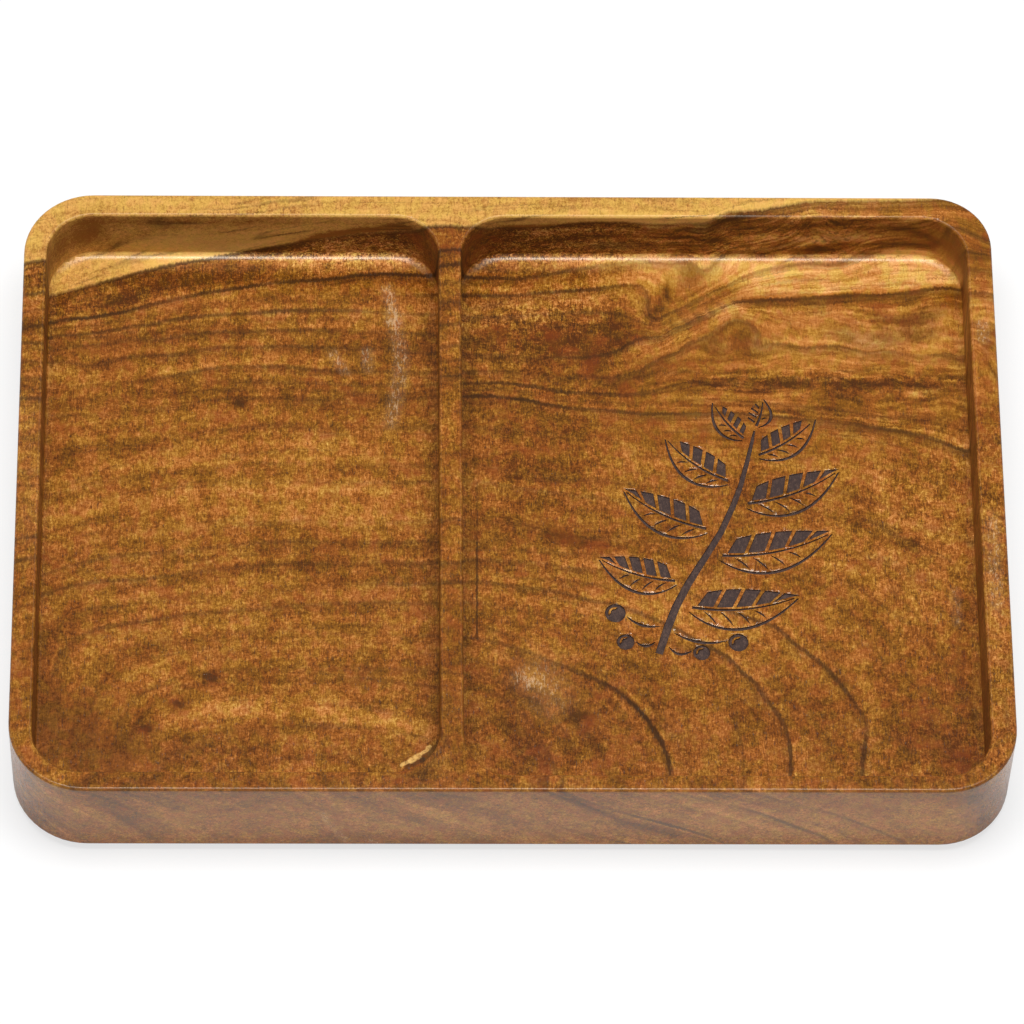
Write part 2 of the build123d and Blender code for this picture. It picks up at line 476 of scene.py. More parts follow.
def thin_plate(places, values, softness):
    """A smooth surface through the values at the places, as a function of x and y."""
    count = len(places)
    squares = ((places[:, None, :] - places[None, :, :]) ** 2).sum(-1)
    kernel = 0.5 * squares * np.log(squares + 1e-9) + softness * np.eye(count)
    plane = np.hstack([np.ones((count, 1)), places])
    system = np.block([[kernel, plane], [plane.T, np.zeros((3, 3))]])
    weights = np.linalg.solve(system, np.concatenate([values, np.zeros(3)]))

    def surface(where):
        squares = ((where[:, None, :] - places[None, :, :]) ** 2).sum(-1)
        bent = (0.5 * squares * np.log(squares + 1e-9)) @ weights[:count]
        return bent + weights[count] + where @ weights[count + 1:]
    return surface


def spread_lines(lines, height):
    """One row for each place on the lines: x, y, height, ring value and darkness."""
    rows = [(*place, height, ring, dark) for ring, dark, passed in lines for place in passed]
    return np.array(rows, float)


def reach_of(x, y, wide, deep, passed):
    """How much of a mark is left at places in mm: 1 on its line, less the further off."""
    stretch = np.array([wide, deep], float)
    where = np.stack([x, y], -1) / stretch
    corners = np.array(passed, float) / stretch
    if len(corners) == 1:
        corners = np.vstack([corners, corners])
    nearest = np.full(len(x), np.inf)
    for start, end in zip(corners[:-1], corners[1:]):
        run = end - start
        share = np.clip((where - start) @ run / max(run @ run, 1e-9), 0, 1)
        nearest = np.minimum(nearest, ((where - start - share[:, None] * run) ** 2).sum(-1))
    return np.exp(-nearest)


class RingField:
    """Ring values and line darkness anywhere in the slab, read from two level maps."""

    # The maps have a value for each mm, so far to the sides and to the front and the back
    reach_x, reach_y = 130, 94
    softness = 8.0
    # How far a traced place tells the darkness: to the right, to the back, upwards and in ring values
    darkness_reach = (7.0, 6.0, 7.0, 0.4)
    background_darkness, background_weight = 0.12, 0.12
    # Over how many ring values and how many mm bands fade, and how far from its face a mark shows
    band_softness, band_fade = 0.5, 5.0
    mark_height, mark_depth = 7.0, 1.5
    steepness_limits = (0.25, 3.0)
    # The dull walls start above the floor and end below the rim, and the rounded edges have satin 1
    wall_start, wall_fade, wall_top, wall_satin = 0.2, 0.6, 0.6, 1.2
    edge_bottom, edge_top = 0.79, 0.03
    # The strip at the foot of the back wall, by its place in front of that wall, its width and its height
    strip_place, strip_width, strip_top, strip_satin = 3.4, 3.0, 0.3, 0.8

    def __init__(self):
        self.columns = np.arange(-self.reach_x, self.reach_x + 1.0)
        self.rows = np.arange(-self.reach_y, self.reach_y + 1.0)
        across, along = np.meshgrid(self.columns, self.rows)
        where = np.stack([across.ravel(), along.ravel()], -1)
        low = spread_lines(floor_growth_lines, floor_height)
        high = spread_lines(rim_growth_lines, rim_height)
        floor = thin_plate(low[:, :2], low[:, 3], self.softness)
        change = thin_plate(high[:, :2], high[:, 3] - floor(high[:, :2]), self.softness)
        self.traced = np.vstack([low, high])
        self.floor = self.in_slices(floor, where).reshape(across.shape)
        self.change = self.in_slices(change, where).reshape(across.shape)

    def in_slices(self, function, where, size=8000):
        return np.concatenate([function(where[i:i + size]) for i in range(0, len(where), size)])

    def darkness(self, x, y, z, ring):
        """How dark the nearest growth line is, from the places that were traced on it."""
        reach = np.array(self.darkness_reach)
        values = np.array(ring_values(), float)
        ring = values[np.abs(ring[:, None] - values).argmin(1)]

        def weigh(part):
            gaps = (part[:, None, :] - self.traced[None, :, :4]) / reach
            weights = np.exp(-0.5 * (gaps ** 2).sum(-1))
            total = weights.sum(-1) + self.background_weight
            return (weights @ self.traced[:, 4] + self.background_weight * self.background_darkness) / total
        return self.in_slices(weigh, np.stack([x, y, z, ring], -1))

    def read(self, level_map, x, y):
        """The value of a level map at places in mm, between its four nearest points."""
        column = np.clip(x + self.reach_x, 0, len(self.columns) - 1.001)
        row = np.clip(y + self.reach_y, 0, len(self.rows) - 1.001)
        left, low = column.astype(int), row.astype(int)
        right_share, high_share = column - left, row - low
        return ((level_map[low, left] * (1 - right_share) + level_map[low, left + 1] * right_share)
                * (1 - high_share)
                + (level_map[low + 1, left] * (1 - right_share) + level_map[low + 1, left + 1] * right_share)
                * high_share)

    def tint(self, x, y, z, ring):
        """What bands and marks, painted shade, sheen and reflection among them, add to brightness, redness,
        contrast and scuffing at places in mm.
        """
        names = ("tone", "redness", "contrast", "scuffing")
        added = {name: np.zeros(len(x)) for name in names}

        def soft_step(value, edge, softness):
            return 1 / (1 + np.exp(-np.clip((value - edge) / softness, -30, 30)))
        for first_ring, last_ring, left, right, height, *amounts in ring_bands:
            share = (soft_step(ring, first_ring, self.band_softness)
                     * soft_step(last_ring, ring, self.band_softness)
                     * soft_step(x, left, self.band_fade) * soft_step(right, x, self.band_fade)
                     * np.exp(-((z - floor_height) / height) ** 2))
            for name, amount in zip(names, amounts):
                added[name] += amount * share
        halfway = (floor_height + rim_height) / 2
        for table, along, off, depth in ((floor_marks, y, z - floor_height, self.mark_height),
                                         (painted_wall_shade, y, z - halfway, self.mark_height),
                                         (rim_marks, y, z - rim_height, self.mark_height),
                                         (front_marks, z, y - front_side, self.mark_depth),
                                         (back_wall_marks, z, y - back_wall_face, self.mark_depth)):
            near = np.exp(-(off / depth) ** 2)
            for wide, deep, *amounts, passed in table:
                share = reach_of(x, along, wide, deep, passed) * near
                for name, amount in zip(names, amounts):
                    added[name] += amount * share
        return added

    def ring_at(self, x, y, z, normals):
        """The ring value at places in mm, and how fast it changes there along the surface."""
        rise = (z - floor_height) / (rim_height - floor_height)
        ring = self.read(self.floor, x, y) + rise * self.read(self.change, x, y)
        slopes = []
        for axis in (1, 0):
            floor_slope = np.gradient(self.floor, axis=axis)
            change_slope = np.gradient(self.change, axis=axis)
            slopes.append(self.read(floor_slope, x, y) + rise * self.read(change_slope, x, y))
        slopes.append(self.read(self.change, x, y) / (rim_height - floor_height))
        slopes = np.stack(slopes, -1)
        along_surface = slopes - (slopes * normals).sum(-1, keepdims=True) * normals
        return ring, np.clip(np.linalg.norm(along_surface, axis=-1), *self.steepness_limits)

    def satin(self, x, y, z, normals):
        """How dull the finish is on the inner walls and on the rounded edges of the rim."""
        # The walls of a compartment face its middle
        middle = np.where(x < divider_middle, *compartment_middles)
        facing = normals[:, 0] * (middle - x) - normals[:, 1] * y
        inner = (facing > 0.01) & (z < rim_height - self.wall_top)
        wall = inner * np.clip((z - floor_height - self.wall_start) / self.wall_fade, 0, 1)
        edge = (z > rim_height - self.edge_bottom) & (z < rim_height - self.edge_top)
        # The polishing doesn't quite reach the foot of the back wall
        strip = np.clip(1 - np.abs(y - back_wall_face + self.strip_place) / self.strip_width, 0, 1)
        strip = strip * (z < floor_height + self.strip_top)
        return np.maximum(np.maximum(self.wall_satin * wall, edge), self.strip_satin * strip)

    def write(self, mesh):
        """Stores the ring values and the tints on the points of a mesh."""
        count = len(mesh.vertices)
        points, normals = np.empty(count * 3), np.empty(count * 3)
        mesh.vertices.foreach_get("co", points)
        mesh.vertices.foreach_get("normal", normals)
        x, y, z = (points.reshape(-1, 3) / millimetre).T
        normals = normals.reshape(-1, 3)
        ring, steepness = self.ring_at(x, y, z, normals)
        stored = {"satin": self.satin(x, y, z, normals), "ring": ring, "ring_width": 1 / steepness,
                  "line_darkness": self.darkness(x, y, z, ring)}
        stored.update(self.tint(x, y, z, ring))
        for name, values in stored.items():
            layer = mesh.attributes.new(name, "FLOAT", "POINT")
            layer.data.foreach_set("value", values.astype(np.float32))


# Timber

class TimberSettings(bpy.types.PropertyGroup):
    heartwood_dark: colour_property("Dark heartwood", "Darkest brown between the growth lines", (86, 46, 8))
    heartwood: colour_property("Heartwood", "Middle brown of the heartwood", (144, 87, 22))
    heartwood_warm: colour_property("Warm heartwood", "Lighter brown of the heartwood", (180, 119, 46))
    heartwood_light: colour_property("Light heartwood", "Light brown of the heartwood", (210, 150, 74))
    heartwood_golden: colour_property("Golden heartwood", "Golden brown of the palest rings", (242, 194, 112))
    heartwood_red: colour_property("Red heartwood", "Reddish brown of the mottled patches", (134, 64, 16))
    sapwood: colour_property("Sapwood", "Yellow of the strip on the bark side", (218, 167, 84))
    sapwood_light: colour_property("Light sapwood", "Palest yellow of the sapwood", (242, 194, 108))
    sapwood_dark: colour_property("Dark sapwood", "Brown of the flecks in the sapwood", (146, 90, 30))
    growth_line: colour_property("Growth line", "Nearly black brown of the growth lines", (50, 27, 8))
    scuff: colour_property("Scuffs", "Whitish tan where the lacquer is scuffed", (220, 186, 144))
    burnt: colour_property("Burnt wood", "Purplish brown of the engraving", (52, 32, 27))
    burnt_light: colour_property("Burnt wood flecks", "Paler flecks in the engraving", (86, 62, 50))
    pore_width: length_property("Pore width", "Width of the dashes that the pores leave", 0.35)
    pore_length: length_property("Pore length", "Length of the dashes that the pores leave", 1.8)
    ring_wander: FloatProperty(name="Ring wander", description="How far a growth line strays, in mm",
                               default=1.0, min=0.0)
    olive: colour_property("Olive tint", "Tint of the greener patches", (248, 255, 228))
    pink: colour_property("Pink tint", "Tint of the pinker patches", (255, 238, 250))
    lacquer: colour_property("Lacquer", "Warm tint of the lacquer's shine", (255, 246, 230))
    shine_roughness: share_property("Roughness", "Roughness of the satin lacquer", 0.19)
    wall_roughness: share_property("Wall roughness", "Roughness that walls and rounded edges add", 0.30)
    mesh_spacing: length_property("Mesh spacing", "Distance between the cuts that carry the ring values", 1.6)


class Timber(Nodes):
    """The timber's material. Lengths are in mm, and patterns run from 0 to 1 with 0.5 as their middle."""

    # Patterns that run along the rings: waves to a ring value and to the mm, then detail and roughness
    ring_patterns = {
        "broad": (0.12, 0.010, 2.0, 0.5),
        "middle": (0.45, 0.035, 2.0, 0.6),
        "swell": (0.30, 0.05, 3.0, 0.6),
        "hairs": (0.26, 0.020, 1.0, 0.4),
        "streaks": (1.5, 0.09, 3.0, 0.7),
        "specks": (0.75, 0.42, 2.0, 0.8),
    }

    # Ring values between which the heartwood turns to sapwood
    sapwood_edge = (92.6, 93.6)

    # Places to the right and to the back between which the grain turns from speckled to streaky
    streaky_right, streaky_back = (15.0, 50.0), (12.0, 35.0)

    # How far from a growth line its core, the shade before it and the glow behind it start and end
    core_reach = (0.22, 1.05)
    shade_start, shade_end = (-3.5, -0.2), (-0.2, 0.6)
    glow_start, glow_end = (0.4, 1.6), (1.6, 5.0)

    # How far growth lines, hairlines and the dashes of the pores cover the colour below them
    line_cover, hair_cover, dash_cover = 0.95, 0.30, 0.28

    # Strokes lie this near the floors' level, and their edges stray
    stroke_level, stroke_stray = (0.4, 0.9), 0.9

    def __init__(self, settings):
        super().__init__(bpy.data.materials.new("hardwood"))
        self.settings = settings
        self.right, self.back, self.up = [
            self.add("SeparateXYZ", {0: self.in_mm}, output=axis) for axis in range(3)]
        self.tone, self.scuffing, self.satin, self.ring_width = map(
            self.attribute, ("tone", "scuffing", "satin", "ring_width"))
        self.contrast = self.attribute("contrast") + 1.0
        self.make_grain()
        self.make_rings()
        self.make_lines()

    def ring_pattern(self, name):
        across, along, *shape = self.ring_patterns[name]
        return self.noise(self.add("CombineXYZ", {
            0: self.ring * across, 1: self.right * along, 2: (self.back + self.up) * along}), *shape)

    def make_grain(self):
        """Granules are nearly round, and pores run from front to back."""
        across = 1 / (self.settings.pore_width / millimetre)
        along = 1 / (self.settings.pore_length / millimetre)
        self.granules = self.pattern((0.9, 1.1, 1.1), 3.0, 0.95, 0.6)
        self.ribbons = self.pattern((0.15, 0.03, 0.15), 2.0, 0.5)
        self.mottle = self.pattern((0.13, 0.20, 0.20), 3.0, 0.6)
        self.pores = self.pattern((across, along, across), 2.0, 0.55, 0.7)
        self.dashes = self.fit(self.pores, 0.26, 0.40, 1.0, 0.0)

    def make_rings(self):
        """A growth line wanders slowly, and its edges are ragged where it crosses the fibres."""
        stray = 1.6 * self.settings.ring_wander
        wander = self.pattern((0.06, 0.06, 0.06), 1.0)
        ragged = self.pattern((1.6, 0.35, 1.6), 2.0, 0.7)
        self.ring = (ragged - 0.5) / self.ring_width * stray + self.attribute("ring")
        self.ring = weighted((wander, stray), start=self.ring)
        self.broad, self.middle, self.swell = map(self.ring_pattern, ("broad", "middle", "swell"))
        self.is_sap = self.fit(self.ring, *self.sapwood_edge)
        self.streaked = self.fit(self.right, *self.streaky_right) * self.fit(self.back, *self.streaky_back)

    def nearest_ring(self):
        """The ring value of the nearest growth line."""
        rings = ring_values()
        lowest, highest = rings[0] - 10.0, rings[-1] + 10.0
        stops = []
        for number, value in enumerate(rings):
            start = 0.0 if number == 0 else ((rings[number - 1] + value) / 2 - lowest) / (highest - lowest)
            share = (value - lowest) / (highest - lowest)
            stops.append((start, (share, share, share)))
        nearest = self.ramp(self.fit(self.ring, lowest, highest, smooth=False), stops, "CONSTANT")
        return self.add("MapRange", {"Value": nearest, "To Min": lowest, "To Max": highest})

    def make_lines(self):
        """How dark each place is from its growth line, and how much the line glows on its bark side."""
        away = (self.ring - self.nearest_ring()) * self.ring_width
        breaks = self.fit(self.swell, 0.30, 0.55, 0.60, 1.0)
        strength = self.attribute("line_darkness") * breaks * self.math("MINIMUM", self.contrast, 1.0)
        self.glow = self.fit(away, *self.glow_start) * self.fit(away, *self.glow_end, 1.0, 0.0) * strength
        shade = self.fit(away, *self.shade_start) * self.fit(away, *self.shade_end, 1.0, 0.0)
        shade = shade * (self.streaked * 0.25 + 0.35)
        core = self.fit(abs(away), *self.core_reach, 1.0, 0.0) * (self.streaked * -0.22 + 1.0)
        line = self.math("MULTIPLY", self.math("MAXIMUM", core, shade), strength, clamp=True)
        self.line = line * self.fit(self.granules, 0.30, 0.55, 0.75, 1.0)

    def heartwood(self):
        """The heartwood's colour, which is its middle brown where the brightness is 0.5."""
        settings = self.settings
        speckled = weighted((self.granules, 2.1), (self.mottle, 0.80), (self.pores, 1.25))
        streaky = weighted((self.granules, 0.80), (self.mottle, 0.30), (self.pores, 0.50),
                           (self.ring_pattern("streaks"), 1.35))
        varied = (streaky - speckled) * self.streaked + speckled
        varied = weighted((self.broad, 0.8), (self.middle, 0.45), start=varied)
        brightness = varied * self.contrast + weighted((self.ribbons, 0.45), start=0.5)
        brightness = self.glow * 0.10 + brightness + self.tone
        colour = self.ramp(brightness * 0.7, (
            (0.0, settings.heartwood_dark), (0.35, settings.heartwood), (0.54, settings.heartwood_warm),
            (0.74, settings.heartwood_light), (1.0, settings.heartwood_golden)))
        redness = self.fit(self.mottle + self.attribute("redness"), 0.50, 0.75)
        return self.mix(redness * 0.55, colour, settings.heartwood_red)

    def sapwood(self):
        """The sapwood's colour, with its brown flecks."""
        settings = self.settings
        brightness = self.tone + weighted((self.broad, 0.4), (self.middle, 0.4), (self.granules, 1.0),
                                          (self.pores, 0.4), start=0.5)
        return self.ramp(brightness, ((0.15, settings.sapwood_dark), (0.5, settings.sapwood),
                                      (0.95, settings.sapwood_light)))

    def tinted(self, colour):
        """The colour with greener and pinker patches, which are weaker in the sapwood."""
        hue = self.fit(self.pattern((0.35, 0.28, 0.35), 1.0, 0.5), 0.36, 0.64)
        tint = self.mix(hue, self.settings.olive, self.settings.pink)
        return self.mix(self.is_sap * -0.5 + 1.0, colour, tint, "MULTIPLY")

    def lined(self, colour):
        """The colour with growth lines, hairlines, specks and the dashes of the pores drawn over it."""
        hairs = self.fit(abs(self.ring_pattern("hairs") - 0.5), 0.0, 0.05, 1.0, 0.0)
        hairs = hairs * self.fit(self.swell, 0.42, 0.65, 0.0, self.hair_cover)
        specks = self.fit(self.ring_pattern("specks"), 0.53, 0.66)
        specks = specks * self.fit(self.contrast, 1.2, 2.2, 0.0, 0.55)
        for cover in (self.line * self.line_cover, hairs * self.contrast,
                      specks * (self.is_sap * -0.8 + 1.0), self.dashes * self.dash_cover):
            colour = self.mix(cover, colour, self.settings.growth_line)
        return colour

    def stroked(self, colour):
        """The colour with the strokes on the floors drawn over it, the painted shadow beside the chip among
        them.
        """
        stray = self.stroke_stray
        strayed = self.add("TexNoise", {"Vector": self.in_mm, "Scale": 0.6, "Detail": 3.0, "Roughness": 0.7},
                           output=1)
        level = self.vector("MULTIPLY", self.in_mm, (1.0, 1.0, 0.0))
        level = self.vector("ADD", level, self.vector("MULTIPLY", strayed, (stray, stray, 0.0)))
        broken = (self.fit(abs(self.up - floor_height), *self.stroke_level, 1.0, 0.0)
                  * self.fit(self.granules, 0.36, 0.56, 0.45, 1.0))
        for start_x, start_y, end_x, end_y, width, cover, pale in strokes:
            # Half of the stray makes up for the noise's middle
            start = Vector((start_x + stray / 2, start_y + stray / 2, 0.0))
            run = Vector((end_x - start_x, end_y - start_y, 0.0))
            offset = self.vector("SUBTRACT", level, start)
            along = self.add("VectorMath", {0: offset, 1: run}, output=1, operation="DOT_PRODUCT")
            share = self.math("MULTIPLY", along, 1 / run.length_squared, clamp=True)
            nearest = self.add("VectorMath", {0: run, 3: share}, operation="SCALE")
            gap = self.add("VectorMath", {0: self.vector("SUBTRACT", offset, nearest)}, output=1,
                           operation="LENGTH")
            mark = self.fit(gap, width * 0.35, width * 0.75, cover, 0.0) * broken
            ink = self.settings.heartwood_golden if pale else self.settings.growth_line
            colour = self.mix(mark, colour, ink)
        return colour

    def scuffed(self, colour):
        """The colour with broken, whitish flecks on a faint veil, and the share of the flecks."""
        flecks = self.scuffing * 0.16 + self.pattern((1.5, 0.5, 1.5), 4.0, 0.85, 0.6)
        share = self.fit(self.scuffing, 0.05, 0.5)
        scuffs = self.fit(flecks, 0.62, 0.72) * share
        return self.mix(scuffs * 0.45 + share * 0.045, colour, self.settings.scuff), scuffs

    def finished(self):
        """The whole material, under a satin lacquer that is rougher on the inner walls."""
        colour = self.mix(self.is_sap, self.heartwood(), self.sapwood())
        colour, scuffs = self.scuffed(self.stroked(self.lined(self.tinted(colour))))
        roughness = weighted((self.granules, 0.30), (self.mottle, 0.15), (self.ribbons, 0.08),
                             start=self.settings.shine_roughness)
        roughness = self.satin * self.settings.wall_roughness + roughness
        roughness = self.math("MAXIMUM", self.dashes, scuffs) * 0.15 + roughness
        height = self.granules * 0.7 - self.dashes * 0.6
        shine = {"Specular IOR Level": self.fit(self.satin, 1.0, 1.2, 0.5, 0.3),
                 "Specular Tint": self.settings.lacquer}
        return self.finish_surface(colour, roughness, height, bump_depth=0.08, bump_strength=0.5,
                                   others=shine)


def burnt_material(settings):
    nodes = Nodes(bpy.data.materials.new("burnt_wood"))
    soot = nodes.pattern((1.3, 0.7, 1.3), 3.0, 0.6)
    fine = nodes.pattern((5.0, 2.5, 5.0), 2.0, 0.6)
    share = nodes.fit((fine - 0.5) * 0.8 + soot, 0.40, 0.80)
    colour = nodes.mix(share, settings.burnt, settings.burnt_light)
    return nodes.finish_surface(colour, 0.7, fine, bump_depth=0.1, bump_strength=0.5, others={"IOR": 1.45})


def new_object(name, mesh):
    made = bpy.data.objects.new(name, mesh)
    bpy.context.scene.collection.objects.link(made)
    return made


def slice_faces(body, faces, axis, planes):
    """Cuts faces with planes across an axis, the middle plane first and then each side's."""
    if not planes or not faces:
        return
    middle = len(planes) // 2
    centre, normal = Vector(), Vector()
    centre[axis], normal[axis] = planes[middle], 1.0
    geometry = list({part for face in faces for part in (face, *face.edges, *face.verts)})
    cut = bmesh.ops.bisect_plane(body, geom=geometry, dist=merge_distance, plane_co=centre, plane_no=normal)
    kept = [part for part in cut["geom"] if isinstance(part, bmesh.types.BMFace)]
    below = [face for face in kept if face.calc_center_median()[axis] < planes[middle]]
    above = [face for face in kept if face.calc_center_median()[axis] >= planes[middle]]
    slice_faces(body, below, axis, planes[:middle])
    slice_faces(body, above, axis, planes[middle + 1:])


def even_planes(low, high, spacing):
    count = max(1, round((high - low) / spacing))
    return [low + (high - low) * number / count for number in range(1, count)]


# Engraving: a sprig with leaves and berries

class EngravingSettings(bpy.types.PropertyGroup):
    centre_x: length_property("Centre across", "Middle of the drawing, to the right of the tray's middle",
                              55.5, -100.0)
    centre_y: length_property("Centre to the back", "Middle of the drawing, behind the tray's middle",
                              -1.0, -100.0)
    depth: length_property("Depth", "How deep the drawing is cut into the floor", 0.5)
    line_width: length_property("Line width", "Width of the outlines and veins", 0.95)


# The stem, with its half width at each place, in mm from the middle of the drawing
stem_places = (
    (-17.5, -38, 1.0), (-15, -30, 1.1), (-12.8, -24, 1.05), (-9.4, -17, 1.0), (-4.8, -9, 0.9),
    (-0.8, -2, 0.85), (2.6, 6, 0.8), (4.7, 12, 0.7), (6.8, 20, 0.6), (8.2, 26, 0.45), (8.8, 29, 0.25),
)

# Leaves: where each leaves the stem, its direction in degrees, its length, width and curl in mm, and
# on which side of its midrib it is shaded
leaves = (
    (-12.8, -24, 6, 31, 12.5, -2.6, 1),
    (-4.8, -9, 13, 33, 12.5, -2.8, 1),
    (2.6, 6, 22, 29, 12, -2.4, 1),
    (6.8, 20, 36, 21, 9.5, -1.6, 1),
    (-9.4, -17, 162, 23, 11, 1.8, -1),
    (-0.8, -2, 152, 27, 11.5, 2.2, -1),
    (4.7, 12, 142, 23, 10.5, 2.0, -1),
    (7.9, 24.5, 126, 15, 7.5, 1.0, -1),
    (8.6, 28.0, 76, 9.5, 6.5, -0.5, 1),
)

# Berries: where each stalk starts and where its berry is, in mm, and the berry's radius
berries = (
    (-15.4, -31.5, 3.0, -34.6, 2.6),
    (-16.8, -35.5, -6.5, -37.6, 2.2),
    (-15.2, -30.5, -28.5, -26.0, 2.7),
    (-16.4, -34.5, -26.0, -34.5, 2.3),
)


class Drawing:
    """Collects closed outlines as a flat curve, which becomes a cutter."""

    # How far leaves and stalks stay off the stem, in mm
    stem_clearance, stalk_clearance = 1.9, 2.0
    # Shares of a leaf's length at which veins cross its shaded half and start in its light half
    cuts = (0.10, 0.26, 0.42, 0.58, 0.74, 0.90)
    veins = (0.16, 0.30, 0.44, 0.58, 0.72)
    # How far the veins slant towards the tip, as shares of a leaf's length
    cut_slant, vein_slant = 0.10, 0.09
    # How fast a leaf widens from its base and narrows to its tip, and where it is widest
    base_power, tip_power, widest = 0.75, 1.05, 0.42
    # Half widths of midribs and stalks and of veins, as shares of the line width
    midrib_half, vein_half = 0.42, 0.26

    def __init__(self, settings):
        self.settings = settings
        self.curve = bpy.data.curves.new("engraving_outlines", "CURVE")
        self.curve.dimensions = "2D"
        self.curve.fill_mode = "BOTH"
        self.line = settings.line_width / millimetre

    def outline(self, places):
        spline = self.curve.splines.new("POLY")
        spline.points.add(len(places) - 1)
        for point, (x, y) in zip(spline.points, places):
            point.co = (self.settings.centre_x + x * millimetre,
                        self.settings.centre_y + y * millimetre, 0.0, 1.0)
        spline.use_cyclic_u = True

    def stroke(self, places):
        """A line that swells and narrows. Each place has its half width."""
        one_side, other_side = [], []
        for number, (x, y, half) in enumerate(places):
            before, after = places[max(number - 1, 0)], places[min(number + 1, len(places) - 1)]
            run = Vector((after[0] - before[0], after[1] - before[1])).normalized()
            one_side.append((x - run.y * half, y + run.x * half))
            other_side.append((x + run.y * half, y - run.x * half))
        self.outline(one_side + other_side[::-1])

    def curved_stroke(self, start, end, bow, half, steps=10):
        """A bowed line from start to end that is pointed at both ends."""
        run = Vector(end) - Vector(start)
        side = Vector((-run.y, run.x)).normalized()
        places = []
        for number in range(steps + 1):
            share = number / steps
            middle = Vector(start) + run * share + side * (bow * 4 * share * (1 - share))
            places.append((middle.x, middle.y, half * (0.25 + 0.75 * math.sin(math.pi * share))))
        self.stroke(places)

    def leaf(self, x, y, degrees, length, width, curl, shaded):
        heading = Matrix.Rotation(math.radians(degrees), 2)
        base = Vector((x, y)) + heading @ Vector((self.stem_clearance, 0.0))
        peak = self.widest ** self.base_power * (1 - self.widest) ** self.tip_power

        def half_width(share):
            if not 0 < share < 1:
                return 0.0
            return width / 2 * (share ** self.base_power * (1 - share) ** self.tip_power) / peak

        def place(share, aside):
            bend = curl * 4 * share * (1 - share)
            return tuple(base + heading @ Vector((length * share, bend + aside)))
        line = self.line
        # The midrib runs on a little from the stem and stops short of the tip
        self.stroke([(*place(share, 0), self.midrib_half * line * (1 - 0.7 * share))
                     for share in np.linspace(0.07, 0.93, 14) if share < 0.5 or half_width(share) > line])
        # The shaded half is cut up by its bare veins
        gap, slant = 0.5 * line / length, self.cut_slant
        for first, last in zip(self.cuts[:-1], self.cuts[1:]):
            inner = [place(share, shaded * 0.85 * line) for share in np.linspace(first + gap, last - gap, 4)]
            outer = [place(share, shaded * (half_width(share) - 0.05 * line))
                     for share in np.linspace(last - gap + slant, first + gap + slant, 6) if share < 0.985]
            if half_width(last) > 1.6 * line:
                self.outline(inner + outer)
        # The light half has an outline and thin veins
        rim = [place(share, -shaded * half_width(share)) for share in np.linspace(0.03, 0.97, 22)]
        inside = []
        for share in np.linspace(0.05, 0.95, 22):
            thickness = line * (0.5 + 0.4 * math.sin(math.pi * share))
            inside.append(place(share, -shaded * max(0.0, half_width(share) - thickness)))
        self.outline(rim + inside[::-1])
        for share in self.veins:
            reach = half_width(share + 0.10) - 1.5 * line
            if reach > 1.8 * line:
                start = place(share, -shaded * 0.75 * line)
                end = place(share + self.vein_slant, -shaded * reach)
                self.curved_stroke(start, end, 0.25 * shaded, self.vein_half * line, 6)

    def berry(self, stalk_x, stalk_y, x, y, radius):
        toward = (Vector((x, y)) - Vector((stalk_x, stalk_y))).normalized()
        start = Vector((stalk_x, stalk_y)) + toward * self.stalk_clearance
        end = Vector((x, y)) - toward * (radius + 0.45 * self.line)
        bow = -1.6 if x > stalk_x else 1.2
        self.curved_stroke(tuple(start), tuple(end), bow, self.midrib_half * self.line, 12)

        def arc(first, last, count, size, shift=0.0, endpoint=True):
            angles = np.linspace(math.radians(first), math.radians(last), count, endpoint=endpoint)
            return [(x + radius * (size * math.cos(angle) - shift),
                     y + radius * (size * math.sin(angle) + shift)) for angle in angles]
        self.outline(arc(0, 360, 28, 1.0, endpoint=False))
        # A bare crescent where the berry shines
        self.outline(arc(70, 200, 10, 0.66) + arc(190, 80, 8, 0.36, 0.08))

    def cutter(self, material):
        """The drawing as closed solids that reach from the cut's bottom to above the floor."""
        depth = self.settings.depth
        above = 1.0 * millimetre
        self.curve.extrude = (depth + above) / 2
        holder = new_object("engraving_outlines", self.curve)
        mesh = bpy.data.meshes.new_from_object(holder)
        bpy.data.objects.remove(holder)
        mesh.transform(Matrix.Translation((0.0, 0.0, floor_height * millimetre + (above - depth) / 2)))
        solid = bmesh.new()
        solid.from_mesh(mesh)
        bmesh.ops.remove_doubles(solid, verts=solid.verts, dist=merge_distance)
        bmesh.ops.recalc_face_normals(solid, faces=solid.faces)
        solid.to_mesh(mesh)
        solid.free()
        mesh.materials.clear()
        mesh.materials.append(material)
        return new_object("engraving_cutter", mesh)


def draw_sprig(settings, material):
    drawing = Drawing(settings)
    drawing.stroke(stem_places)
    for leaf in leaves:
        drawing.leaf(*leaf)
    for berry in berries:
        drawing.berry(*berry)
    return drawing.cutter(material)


def cut_out(mesh, cutter):
    """The mesh with the cutter's solids taken out of it, and the cutter's material on the cut faces."""
    holder = new_object("uncut", mesh)
    cut = holder.modifiers.new("cut", "BOOLEAN")
    cut.operation, cut.solver, cut.material_mode = "DIFFERENCE", "EXACT", "TRANSFER"
    cut.object = cutter
    bpy.context.view_layer.update()
    result = bpy.data.meshes.new_from_object(holder.evaluated_get(bpy.context.evaluated_depsgraph_get()))
    bpy.data.objects.remove(holder)
    bpy.data.objects.remove(cutter)
    if len(result.polygons) <= len(mesh.polygons):
        raise RuntimeError("The engraving could not be cut: its outlines may cross")
    return result


